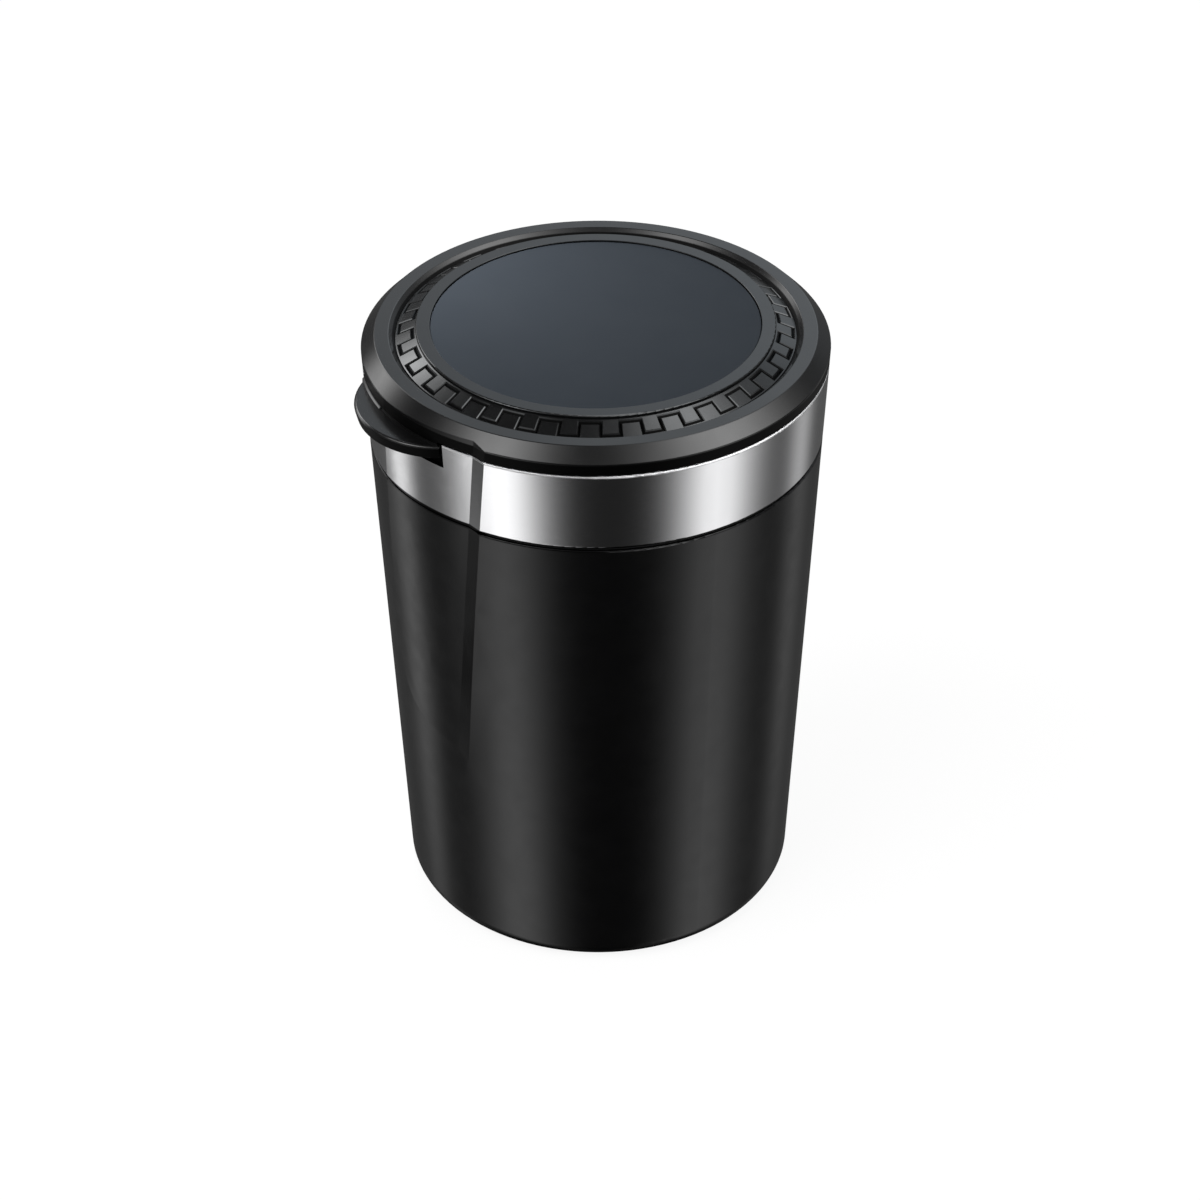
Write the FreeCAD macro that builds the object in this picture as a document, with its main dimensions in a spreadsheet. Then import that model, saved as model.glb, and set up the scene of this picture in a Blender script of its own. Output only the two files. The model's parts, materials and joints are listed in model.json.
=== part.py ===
import FreeCAD, Part
import math
import os

import Sketcher

# Car ashtray for a cup holder: a tapered cup with a loose ash liner, a head that lifts off the cup,
# and a hinged lid with a thumb tab, a meander ring and a small lamp on its underside.
# Frame: millimetres, +Z up, the cup's axis on Z, the resting face at z = 0.
# The thumb tab points to -Y and the hinge is at +Y. Angles about Z run from -Y towards +X.

Vector = FreeCAD.Vector

SIZES = {
    # Outer form: one flush cone from the foot to the rim
    "base_radius": 34.566,
    "rim_radius": 39.406,
    "foot_fillet": 3.2,
    # Cup, non-slip pad and ash liner
    "cup_top": 90.9,
    "cup_wall": 2.0,
    "cup_floor": 2.5,
    "cup_lip_fillet": 0.3,
    "pad_radius": 27.0,
    "pad_thickness": 1.5,
    "pad_proud": 0.3,
    "pad_gap": 0.1,
    "liner_gap": 1.2,
    "liner_sheet": 0.6,
    "liner_lip_width": 0.8,
    "liner_lip_height": 1.2,
    "liner_lip_fillet": 0.35,
    "liner_headroom": 0.4,
    # Head: collar, seal ring, snuffer plate and bright band
    "spigot_length": 6.9,
    "spigot_gap": 0.2,
    "collar_wall": 1.6,
    "collar_drop": 0.3,
    "deck_width": 5.845,
    "throat_wall": 1.2,
    "ledge_rise": 0.8,
    "ledge_thickness": 1.0,
    "ledge_width": 2.0,
    "seam_gap": 0.3,
    "seam_recess": 0.5,
    "seal_section": 1.0,
    "seal_groove": 0.9,
    "seal_gap": 0.05,
    "seal_drop": 3.6,
    "plate_thickness": 0.8,
    "plate_gap": 0.2,
    "ash_hole_radius": 14.0,
    "ash_hole_margin": 5.2,
    "snuffer_bore": 4.5,
    "snuffer_wall": 0.7,
    "snuffer_length": 8.0,
    "snuffer_margin": 8.6,
    "snuffer_angle": 45.0,
    "band_height": 14.3,
    "band_wall": 0.9,
    "band_gap": 0.05,
    "band_top_fillet": 0.4,
    "band_foot_fillet": 0.6,
    "notch_half_angle": 20.0,
    "notch_depth": 4.4,
    "notch_cut": 2.345,
    # Step that runs down the side of lid, band and cup
    "step_depth": 0.85,
    "step_mid_drop": 46.0,
    "step_mid_depth": 0.5,
    "step_length": 69.0,
    "step_angle": 33.6,
    "step_ramp": 3.9,
    "step_lean": 0.165,
    "step_fade_angle": -3.0,
    # Lid frame and thumb tab
    "lid_gap": 0.25,
    "lid_height": 4.25,
    "chamfer_drop": 2.23,
    "chamfer_run": 2.25,
    "rim_flat": 2.41,
    "bevel_run": 1.05,
    "bevel_drop": 1.0,
    "lid_edge_fillet": 0.25,
    "seat_drop": 2.1,
    "seat_thickness": 1.4,
    "seat_margin": 0.9,
    "skirt_wall": 2.2,
    "tab_radius": 15.5,
    "tab_overhang": 4.514,
    "tab_drop": 0.5,
    "tab_thickness": 2.5,
    "tab_draft": 0.6,
    "tab_fillet": 0.5,
    "tab_half_angle": 18.5,
    "tab_neck_gap": 0.5,
    "tab_root": 0.733,
    "tab_root_bevel": 0.4,
    # Meander ring and disc in the lid
    "ring_gap": 0.1,
    "ring_edge": 1.15,
    "ring_rise": 1.5,
    "ring_floor": 1.2,
    "plateau_height": 1.19,
    "slope_width": 3.4,
    "plateau_width": 2.4,
    "plateau_fillet": 0.2,
    "disc_thickness": 1.8,
    "disc_gap": 0.06,
    "disc_fillet": 0.1,
    "meander_count": 30,
    "meander_inset": 0.55,
    "meander_start": 1.3,
    "meander_share": 0.475,
    "groove_width": 0.72,
    "groove_depth": 0.4,
    "groove_reach": 0.1,
    # Hinge
    "hinge_radius": 1.9,
    "hinge_inset": 1.9,
    "hinge_clearance": 0.3,
    "pin_radius": 0.8,
    "pin_gap": 0.05,
    "hinge_notch_half": 9.8,
    "hinge_notch_gap": 0.9,
    "knuckle_half": 3.8,
    "ear_width": 2.4,
    "ear_gap": 0.2,
    "web_inset": 0.22,
    "web_gap": 0.15,
    # Underside of the lid: gasket, cover and lamp
    "gasket_gap": 0.15,
    "gasket_inset": 0.3,
    "gasket_margin": 1.7,
    "cover_gap": 0.6,
    "cover_depth": 4.8,
    "cover_floor": 1.3,
    "cover_wall": 1.2,
    "cover_fillet": 0.8,
    "screw_count": 3,
    "screw_inset": 1.9,
    "screw_radius": 0.8,
    "screw_head": 1.6,
    "screw_head_height": 1.0,
    "screw_gap": 0.15,
    "screw_bite": 1.1,
    "boss_radius": 2.2,
    "lens_radius": 6.0,
    "lens_flange": 1.0,
    "lens_flange_height": 0.6,
    "lens_gap": 0.1,
    "board_length": 26.0,
    "board_width": 11.0,
    "board_thickness": 0.8,
    "post_radius": 1.6,
    "post_spacing": 21.0,
    "lamp_length": 3.5,
    "lamp_width": 2.8,
    "lamp_height": 0.9,
    "switch_radius": 1.4,
    "switch_length": 6.0,
    "switch_offset": 5.0,
    "cell_radius": 10.0,
    "cell_thickness": 3.2,
    "cell_step": 0.4,
    "cell_rim": 1.3,
    "cell_margin": 3.3,
    "door_margin": 1.6,
    "door_gap": 0.1,
    "door_slot_width": 1.6,
    "door_slot_depth": 0.7,
    "lug_reach": 1.2,
    "lug_width": 7.0,
    "lug_height": 0.7,
    "contact_width": 3.0,
    "contact_sheet": 0.3,
    "contact_spread": 5.0,
    "contact_reach": 8.0,
}

doc = FreeCAD.newDocument("CarAshtray")
sheet = doc.addObject("Spreadsheet::Sheet", "dim")
for row, (alias, number) in enumerate(SIZES.items(), start=1):
    sheet.set(f"A{row}", alias)
    sheet.set(f"B{row}", str(number))
    sheet.setAlias(f"B{row}", alias)
doc.recompute()

ZERO = "0"
nodes = {}


def value(expression):
    """Number that a sheet expression gives now."""
    return float(sheet.evalExpression(expression))


def cone(height, inset=ZERO):
    """Expression for the outer cone's radius at a height, less an inset."""
    return f"(dim.base_radius + (dim.rim_radius - dim.base_radius) * ({height}) / {RIM_TOP} - ({inset}))"


# Heights, from the base up
CUP_FLOOR_TOP = "(dim.pad_thickness + dim.cup_floor)"
SPIGOT_BOTTOM = "(dim.cup_top - dim.spigot_length)"
LINER_TOP = f"({SPIGOT_BOTTOM} - dim.liner_headroom)"
BAND_BOTTOM = "(dim.cup_top + dim.seam_gap)"
LEDGE_TOP = f"({BAND_BOTTOM} + dim.ledge_rise)"
BAND_TOP = f"({BAND_BOTTOM} + dim.band_height)"
COLLAR_TOP = f"({BAND_TOP} - dim.collar_drop)"
NOTCH_BOTTOM = f"({BAND_TOP} - dim.notch_depth)"
TAB_TOP = f"({BAND_TOP} - dim.tab_drop)"
TAB_BOTTOM = f"({TAB_TOP} - dim.tab_thickness)"
SKIRT_BOTTOM = f"({BAND_TOP} + dim.lid_gap)"
RIM_TOP = f"({SKIRT_BOTTOM} + dim.lid_height)"
CHAMFER_BOTTOM = f"({RIM_TOP} - dim.chamfer_drop)"
SEAT_TOP = f"({RIM_TOP} - dim.seat_drop)"
SEAT_BOTTOM = f"({SEAT_TOP} - dim.seat_thickness)"
PLATEAU_TOP = f"({RIM_TOP} + dim.plateau_height)"
DISC_SEAT = f"({SEAT_TOP} + dim.ring_floor)"
COVER_BOTTOM = f"({COLLAR_TOP} - dim.cover_depth)"
COVER_INSIDE = f"({COVER_BOTTOM} + dim.cover_floor)"

# Radii, from the outer cone inwards
RIM_OUTER = f"({cone(CHAMFER_BOTTOM)} - dim.chamfer_run)"
RIM_INNER = f"({RIM_OUTER} - dim.rim_flat)"
SEAT_RADIUS = f"({RIM_INNER} - dim.bevel_run)"
RING_RADIUS = f"({SEAT_RADIUS} - dim.ring_gap)"
SKIRT_INNER = f"({cone(SKIRT_BOTTOM)} - dim.skirt_wall)"
GASKET_OUTER = f"({SKIRT_INNER} - dim.gasket_margin)"
SLEEVE_INSET = "(dim.band_wall + dim.band_gap)"
DECK_RADIUS = cone(COLLAR_TOP, SLEEVE_INSET)
THROAT_RADIUS = f"({DECK_RADIUS} - dim.deck_width)"
NOTCH_RADIUS = f"({DECK_RADIUS} - dim.notch_cut)"
PLATE_RADIUS = f"({THROAT_RADIUS} - dim.plate_gap)"
COVER_RADIUS = f"({THROAT_RADIUS} - dim.cover_gap)"
SCREW_CIRCLE = f"({COVER_RADIUS} - dim.screw_inset)"
PLATEAU_OUTER = f"({RING_RADIUS} - dim.slope_width)"
PLATEAU_INNER = f"({PLATEAU_OUTER} - dim.plateau_width)"
WEDGE_RADIUS = "(2 * dim.rim_radius)"

# Hinge axis, parallel to X
HINGE_Z = f"({COLLAR_TOP} - dim.hinge_radius)"
HINGE_Y = f"({cone(HINGE_Z)} - dim.hinge_inset)"
EAR_INNER = "(dim.knuckle_half + dim.ear_gap)"
EAR_OUTER = f"({EAR_INNER} + dim.ear_width)"


def bind(obj, **expressions):
    """Bind properties of an object to sheet expressions; x, y and z are its place."""
    places = {"x": "Placement.Base.x", "y": "Placement.Base.y", "z": "Placement.Base.z"}
    for name, expression in expressions.items():
        obj.setExpression(places.get(name, name), expression)
    return obj


def new_body(name):
    body = doc.addObject("PartDesign::Body", name)
    body.Label = name
    return body


def origin_plane(body, role):
    return next(item for item in body.Origin.OriginFeatures if item.Role == role)


def profile_sketch(body, corners):
    """Closed outline in the body's XZ plane, each corner held by two bound distances."""
    sketch = body.newObject("Sketcher::SketchObject", body.Name + "_profile")
    sketch.AttachmentSupport = (origin_plane(body, "XZ_Plane"), [""])
    sketch.MapMode = "FlatFace"
    points = [Vector(value(x), value(y), 0) for x, y in corners]
    for index, point in enumerate(points):
        sketch.addGeometry(Part.LineSegment(point, points[(index + 1) % len(points)]))
    for index in range(len(points)):
        follower = (index + 1) % len(points)
        sketch.addConstraint(Sketcher.Constraint("Coincident", index, 2, follower, 1))
    for index, corner in enumerate(corners):
        for kind, expression, axis in zip(("DistanceX", "DistanceY"), corner, (-2, -1)):
            if expression == ZERO:
                sketch.addConstraint(Sketcher.Constraint("PointOnObject", index, 1, axis))
                continue
            datum = Sketcher.Constraint(kind, -1, 1, index, 1, value(expression))
            number = sketch.addConstraint(datum)
            sketch.setExpression(f"Constraints[{number}]", expression)
    return sketch


def turned(name, corners):
    """Body turned about Z from an outline of (radius, height) corners."""
    body = new_body(name)
    sketch = profile_sketch(body, corners)
    turn = body.newObject("PartDesign::Revolution", name + "_turn")
    turn.Profile = sketch
    turn.ReferenceAxis = (sketch, ["V_Axis"])
    turn.Angle = 360.0
    doc.recompute()
    return body


def round_rings(body, radius, corners):
    """Fillet the circular edges of a turned body that run through the given corners."""
    base = body.Tip
    wanted = [(value(x), value(y)) for x, y in corners]
    edges = []
    for index, edge in enumerate(base.Shape.Edges, start=1):
        if not isinstance(edge.Curve, Part.Circle):
            continue
        ring = (edge.Curve.Radius, edge.Curve.Center.z)
        if any(math.dist(ring, corner) < 0.001 for corner in wanted):
            edges.append(f"Edge{index}")
    fillet = body.newObject("PartDesign::Fillet", f"{body.Name}_round{len(body.Group)}")
    fillet.Base = (base, edges)
    fillet.setExpression("Radius", radius)
    doc.recompute()
    return body


def cylinder(name, radius, height, x=ZERO, y=ZERO, z=ZERO):
    return bind(doc.addObject("Part::Cylinder", name), Radius=radius, Height=height, x=x, y=y, z=z)


def cross_cylinder(name, radius, half_length, y, z):
    """Cylinder along X, centred on x = 0."""
    rod = doc.addObject("Part::Cylinder", name)
    rod.Placement.Rotation = FreeCAD.Rotation(Vector(0, 1, 0), 90)
    return bind(rod, Radius=radius, Height=f"2 * {half_length}", x=f"-{half_length}", y=y, z=z)


def box(name, size, corner):
    length, width, height = size
    x, y, z = corner
    block = doc.addObject("Part::Box", name)
    return bind(block, Length=length, Width=width, Height=height, x=x, y=y, z=z)


def fuse(name, pieces):
    joined = doc.addObject("Part::MultiFuse", name)
    joined.Shapes = pieces
    return joined


def cut(name, base, tools):
    removed = doc.addObject("Part::Cut", name)
    removed.Base = base
    removed.Tool = tools[0] if len(tools) == 1 else fuse(name + "_tools", tools)
    return removed


def common(name, base, tool):
    shared = doc.addObject("Part::Common", name)
    shared.Base = base
    shared.Tool = tool
    return shared


def group(name, pieces):
    members = doc.addObject("Part::Compound", name)
    members.Links = pieces
    return members


def node(name, obj):
    obj.Label = name
    nodes[name] = obj


def polar(radius, angle, height):
    """Point at an angle counted from -Y towards +X."""
    turn = math.radians(angle)
    return Vector(radius * math.sin(turn), -radius * math.cos(turn), height)


def arc_edge(start, middle, end):
    return Part.Arc(start, middle, end).toShape()


def line_edge(start, end):
    return Part.LineSegment(start, end).toShape()


STEP_OVERLAP = 0.05
STEP_REACH = 3.0


def step_section(height, depth, inset):
    """Outline of the step cutter at one height: ramp, hollow, and a closing arc outside the cone."""
    radius = value(cone(str(height), inset))
    lean = value("dim.step_lean") * (value(RIM_TOP) - height)
    crest = value("dim.step_angle") - lean
    root = crest - value("dim.step_ramp")
    fade = value("dim.step_fade_angle") - lean
    floor = polar(radius - depth, root, height)
    ramp = polar(radius, crest, height) - floor
    ramp_end = floor + ramp * (1 + STEP_REACH / ramp.Length)
    fade_out = polar(radius + STEP_OVERLAP, fade, height)
    far = polar(radius + STEP_REACH, fade, height)
    hollow = polar(radius - (depth - STEP_OVERLAP) / 2, (root + fade) / 2, height)
    outside = polar(radius + STEP_REACH, (crest + fade) / 2, height)
    return Part.Wire(
        [
            arc_edge(floor, hollow, fade_out),
            line_edge(fade_out, far),
            arc_edge(far, outside, ramp_end),
            line_edge(ramp_end, floor),
        ]
    )


def step_cutter(name, inset):
    """Lofted tool for the slanting step, moved inwards by an inset."""
    middle = value(f"{RIM_TOP} - dim.step_mid_drop")
    foot = value(f"{RIM_TOP} - dim.step_length")
    sections = [
        step_section(value(PLATEAU_TOP) + STEP_REACH, value("dim.step_depth"), inset),
        step_section(middle, value("dim.step_mid_depth"), inset),
        step_section(foot, -STEP_OVERLAP, inset),
    ]
    tool = doc.addObject("Part::Feature", name)
    tool.Shape = Part.makeLoft(sections, True, False)
    return tool


def sector(name, radius, half_angle, bottom, top):
    """Wedge of a cylinder, centred on the tab's direction."""
    wedge = doc.addObject("Part::Cylinder", name)
    start = -90 - value(half_angle)
    wedge.Placement.Rotation = FreeCAD.Rotation(Vector(0, 0, 1), start)
    bind(wedge, Radius=radius, Height=f"{top} - {bottom}", Angle=f"2 * ({half_angle})", z=bottom)
    return wedge


def make_cup():
    inner = "dim.cup_wall"
    lip = (cone("dim.cup_top"), "dim.cup_top")
    foot = (cone("dim.pad_proud"), "dim.pad_proud")
    recess = "dim.pad_radius + dim.pad_gap"
    shell = turned(
        "cup_shell",
        [
            (recess, "dim.pad_proud"),
            foot,
            lip,
            (cone("dim.cup_top", inner), "dim.cup_top"),
            (cone(CUP_FLOOR_TOP, inner), CUP_FLOOR_TOP),
            (ZERO, CUP_FLOOR_TOP),
            (ZERO, "dim.pad_thickness"),
            (recess, "dim.pad_thickness"),
        ],
    )
    round_rings(shell, "dim.foot_fillet", [foot])
    round_rings(shell, "dim.cup_lip_fillet", [lip])
    node("outer_cup", cut("outer_cup", shell, [step_cutter("cup_step", ZERO)]))
    node("base_pad", cylinder("base_pad", "dim.pad_radius", "dim.pad_thickness"))


def make_liner():
    gap = "dim.cup_wall + dim.liner_gap"
    sheet_in = f"{gap} + dim.liner_sheet"
    lip_out = f"{gap} - dim.liner_lip_width"
    lip_bottom = f"({LINER_TOP} - dim.liner_lip_height)"
    floor_top = f"({CUP_FLOOR_TOP} + dim.liner_sheet)"
    lip_corners = [(cone(LINER_TOP, lip_out), LINER_TOP), (cone(LINER_TOP, lip_out), lip_bottom)]
    bucket = turned(
        "inner_liner",
        [
            (ZERO, CUP_FLOOR_TOP),
            (cone(CUP_FLOOR_TOP, gap), CUP_FLOOR_TOP),
            (cone(lip_bottom, gap), lip_bottom),
            lip_corners[1],
            lip_corners[0],
            (cone(LINER_TOP, sheet_in), LINER_TOP),
            (cone(floor_top, sheet_in), floor_top),
            (ZERO, floor_top),
        ],
    )
    round_rings(bucket, "dim.liner_lip_fillet", lip_corners)
    node("inner_liner", bucket)


def hinge_ear(name, start):
    """Lug on the collar's back that holds one end of the pin."""
    root = f"({HINGE_Y} - 2 * dim.hinge_radius)"
    barrel = doc.addObject("Part::Cylinder", name + "_barrel")
    barrel.Placement.Rotation = FreeCAD.Rotation(Vector(0, 1, 0), 90)
    bind(barrel, Radius="dim.hinge_radius", Height="dim.ear_width", x=start, y=HINGE_Y, z=HINGE_Z)
    arm_size = ("dim.ear_width", f"{HINGE_Y} - {root}", "2 * dim.hinge_radius")
    arm = box(name + "_arm", arm_size, (start, root, f"{HINGE_Z} - dim.hinge_radius"))
    return [barrel, arm]


def make_collar():
    spigot = "dim.cup_wall + dim.spigot_gap"
    spigot_in = f"{spigot} + dim.collar_wall"
    groove = f"{spigot} + dim.seal_groove"
    seal_height = "(dim.cup_top - dim.seal_drop)"
    groove_top = f"({seal_height} + dim.seal_section / 2 + dim.seal_gap)"
    groove_bottom = f"({seal_height} - dim.seal_section / 2 - dim.seal_gap)"
    groove_floor = cone(groove_bottom, groove)
    sleeve_in = f"{SLEEVE_INSET} + dim.collar_wall"
    deck = f"({COLLAR_TOP} - dim.collar_wall)"
    web = f"({BAND_BOTTOM} + dim.collar_wall)"
    throat_out = f"{THROAT_RADIUS} + dim.throat_wall"
    ledge_bottom = f"({LEDGE_TOP} - dim.ledge_thickness)"
    ledge_in = f"{THROAT_RADIUS} - dim.ledge_width"
    ring = turned(
        "collar_ring",
        [
            (cone(SPIGOT_BOTTOM, spigot), SPIGOT_BOTTOM),
            (cone(groove_bottom, spigot), groove_bottom),
            (groove_floor, groove_bottom),
            (groove_floor, groove_top),
            (cone(groove_top, spigot), groove_top),
            (cone("dim.cup_top", spigot), "dim.cup_top"),
            (cone("dim.cup_top", "dim.seam_recess"), "dim.cup_top"),
            (cone(BAND_BOTTOM, "dim.seam_recess"), BAND_BOTTOM),
            (cone(BAND_BOTTOM, SLEEVE_INSET), BAND_BOTTOM),
            (DECK_RADIUS, COLLAR_TOP),
            (THROAT_RADIUS, COLLAR_TOP),
            (THROAT_RADIUS, LEDGE_TOP),
            (ledge_in, LEDGE_TOP),
            (ledge_in, ledge_bottom),
            (throat_out, ledge_bottom),
            (throat_out, deck),
            (cone(deck, sleeve_in), deck),
            (cone(web, sleeve_in), web),
            (cone("dim.cup_top", spigot_in), "dim.cup_top"),
            (cone(SPIGOT_BOTTOM, spigot_in), SPIGOT_BOTTOM),
        ],
    )
    notch_top = f"({COLLAR_TOP} + dim.collar_wall)"
    notch = cut(
        "collar_notch",
        sector("notch_wedge", WEDGE_RADIUS, "dim.notch_half_angle", NOTCH_BOTTOM, notch_top),
        [cylinder("notch_floor", NOTCH_RADIUS, notch_top)],
    )
    stepped = cut("collar_stepped", ring, [step_cutter("collar_step", SLEEVE_INSET), notch])
    ears = hinge_ear("right_ear", EAR_INNER) + hinge_ear("left_ear", f"-{EAR_OUTER}")
    room = "(dim.hinge_radius + dim.hinge_clearance)"
    pocket_size = (f"2 * {EAR_INNER}", f"2 * {room}", f"2 * {room}")
    pocket_corner = (f"-{EAR_INNER}", f"{HINGE_Y} - {room}", f"{HINGE_Z} - {room}")
    pocket = box("knuckle_pocket", pocket_size, pocket_corner)
    bore = cross_cylinder("ear_bore", "dim.pin_radius", EAR_OUTER, HINGE_Y, HINGE_Z)
    collar = cut("head_collar", fuse("collar_ears", [stepped] + ears), [pocket, bore])
    node("head_collar", collar)

    seal = doc.addObject("Part::Torus", "collar_seal")
    seal_radius = f"{groove_floor} + dim.seal_section / 2"
    bind(seal, Radius1=seal_radius, Radius2="dim.seal_section / 2", z=seal_height)
    node("collar_seal", seal)


def make_snuffer_plate():
    tube_radius = "(dim.snuffer_bore + dim.snuffer_wall)"
    tube_bottom = f"{LEDGE_TOP} - dim.snuffer_length"
    tube_height = "dim.snuffer_length + dim.plate_thickness"
    tube_circle = f"({PLATE_RADIUS} - {tube_radius} - dim.snuffer_margin)"
    hole_y = f"dim.ash_hole_radius + dim.ash_hole_margin - {PLATE_RADIUS}"
    pieces = [cylinder("plate_disc", PLATE_RADIUS, "dim.plate_thickness", z=LEDGE_TOP)]
    tools = [cylinder("ash_hole", "dim.ash_hole_radius", RIM_TOP, y=hole_y)]
    for side, sign in (("right", ""), ("left", "-")):
        x = f"{sign}{tube_circle} * sin(dim.snuffer_angle)"
        y = f"{tube_circle} * cos(dim.snuffer_angle)"
        pieces.append(cylinder(side + "_snuffer", tube_radius, tube_height, x=x, y=y, z=tube_bottom))
        tools.append(cylinder(side + "_snuffer_bore", "dim.snuffer_bore", RIM_TOP, x=x, y=y))
    node("snuffer_plate", cut("snuffer_plate", fuse("plate_blank", pieces), tools))


def make_band():
    """Bright sleeve: the stepped outer cone less the same form one wall further in."""
    upper = (cone(BAND_TOP), BAND_TOP)
    lower = (cone(BAND_BOTTOM), BAND_BOTTOM)
    outer = turned("band_outer", [(ZERO, BAND_BOTTOM), lower, upper, (ZERO, BAND_TOP)])
    round_rings(outer, "dim.band_top_fillet", [upper])
    round_rings(outer, "dim.band_foot_fillet", [lower])
    core = turned(
        "band_core",
        [
            (ZERO, "dim.cup_top"),
            (cone("dim.cup_top", "dim.band_wall"), "dim.cup_top"),
            (cone(RIM_TOP, "dim.band_wall"), RIM_TOP),
            (ZERO, RIM_TOP),
        ],
    )
    skin = cut("band_skin", outer, [step_cutter("band_step", ZERO)])
    inside = cut("band_inside", core, [step_cutter("band_inner_step", "dim.band_wall")])
    tab_notch = sector("band_notch", WEDGE_RADIUS, "dim.notch_half_angle", NOTCH_BOTTOM, RIM_TOP)
    hinge_bottom = f"({HINGE_Z} - dim.hinge_radius - dim.hinge_notch_gap)"
    hinge_size = ("2 * dim.hinge_notch_half", "dim.rim_radius", "dim.band_height")
    hinge_corner = ("-dim.hinge_notch_half", THROAT_RADIUS, hinge_bottom)
    hinge_notch = box("band_hinge_notch", hinge_size, hinge_corner)
    node("trim_band", cut("trim_band", skin, [inside, tab_notch, hinge_notch]))


def make_hinge_pin():
    node("hinge_pin", cross_cylinder("hinge_pin", "dim.pin_radius", EAR_OUTER, HINGE_Y, HINGE_Z))


def make_tab():
    """Half-moon thumb tab, turned about its own axis and cut back to the lid's neck."""
    upper = ("dim.tab_radius", TAB_TOP)
    lower = ("dim.tab_radius - dim.tab_draft", TAB_BOTTOM)
    disc = turned("tab_disc", [(ZERO, TAB_BOTTOM), lower, upper, (ZERO, TAB_TOP)])
    round_rings(disc, "dim.tab_fillet", [upper, lower])
    bind(disc, y=f"dim.tab_radius - {cone(TAB_TOP)} - dim.tab_overhang")
    root = f"({SKIRT_INNER} + dim.tab_root)"
    crescent = cut("tab_crescent", disc, [cylinder("tab_root", root, RIM_TOP)])
    limit = "(dim.notch_half_angle + dim.tab_half_angle) / 2"
    return common("thumb_tab", crescent, sector("tab_limit", WEDGE_RADIUS, limit, TAB_BOTTOM, TAB_TOP))


def make_lid_frame():
    corner = (cone(CHAMFER_BOTTOM), CHAMFER_BOTTOM)
    crest = (RIM_OUTER, RIM_TOP)
    inner_crest = (RIM_INNER, RIM_TOP)
    seat_inner = f"{SCREW_CIRCLE} - dim.seat_margin"
    shell = turned(
        "lid_shell",
        [
            (cone(SKIRT_BOTTOM), SKIRT_BOTTOM),
            corner,
            crest,
            inner_crest,
            (SEAT_RADIUS, f"{RIM_TOP} - dim.bevel_drop"),
            (SEAT_RADIUS, SEAT_TOP),
            (seat_inner, SEAT_TOP),
            (seat_inner, SEAT_BOTTOM),
            (SKIRT_INNER, SEAT_BOTTOM),
            (SKIRT_INNER, SKIRT_BOTTOM),
        ],
    )
    round_rings(shell, "dim.lid_edge_fillet", [corner, crest, inner_crest])

    neck_inner = f"{NOTCH_RADIUS} + dim.tab_neck_gap"
    tab_inside = f"({TAB_TOP} - dim.tab_thickness / 2)"
    bevel_top = f"({TAB_TOP} + dim.tab_root_bevel)"
    bevel_out = f"{cone(TAB_TOP)} + dim.tab_root_bevel"
    neck_blank = turned(
        "neck_blank",
        [
            (neck_inner, TAB_BOTTOM),
            (cone(TAB_BOTTOM), TAB_BOTTOM),
            (bevel_out, tab_inside),
            (bevel_out, TAB_TOP),
            (cone(bevel_top), bevel_top),
            (cone(CHAMFER_BOTTOM), CHAMFER_BOTTOM),
            (neck_inner, CHAMFER_BOTTOM),
        ],
    )
    neck_wedge = sector("neck_wedge", WEDGE_RADIUS, "dim.tab_half_angle", TAB_BOTTOM, CHAMFER_BOTTOM)
    neck = common("tab_neck", neck_blank, neck_wedge)
    stepped = cut("lid_stepped", fuse("lid_with_neck", [shell, neck]), [step_cutter("lid_step", ZERO)])

    barrel = cross_cylinder("lid_barrel", "dim.hinge_radius", "dim.knuckle_half", HINGE_Y, HINGE_Z)
    web_front = f"({GASKET_OUTER} + dim.web_gap)"
    web_back = f"({cone(HINGE_Z)} - dim.web_inset)"
    web_size = ("2 * dim.knuckle_half", f"{web_back} - {web_front}", f"{SEAT_BOTTOM} - {HINGE_Z}")
    web = box("lid_web", web_size, ("-dim.knuckle_half", web_front, HINGE_Z))
    bore = cross_cylinder("knuckle_bore", "dim.pin_radius + dim.pin_gap", EAR_OUTER, HINGE_Y, HINGE_Z)
    screw_holes = on_screw_circle("screw_hole", "dim.screw_radius", "dim.screw_bite", SEAT_BOTTOM)
    whole = fuse("lid_blank", [stepped, make_tab(), barrel, web])
    node("lid_frame", cut("lid_frame", whole, [bore] + screw_holes))


def on_screw_circle(name, radius, height, z):
    """One upright cylinder at each cover screw's place."""
    count = int(value("dim.screw_count"))
    return [
        cylinder(
            f"{name}{index}",
            radius,
            height,
            x=f"{SCREW_CIRCLE} * sin({index} * 360 / dim.screw_count)",
            y=f"-{SCREW_CIRCLE} * cos({index} * 360 / dim.screw_count)",
            z=z,
        )
        for index in range(count)
    ]


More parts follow.
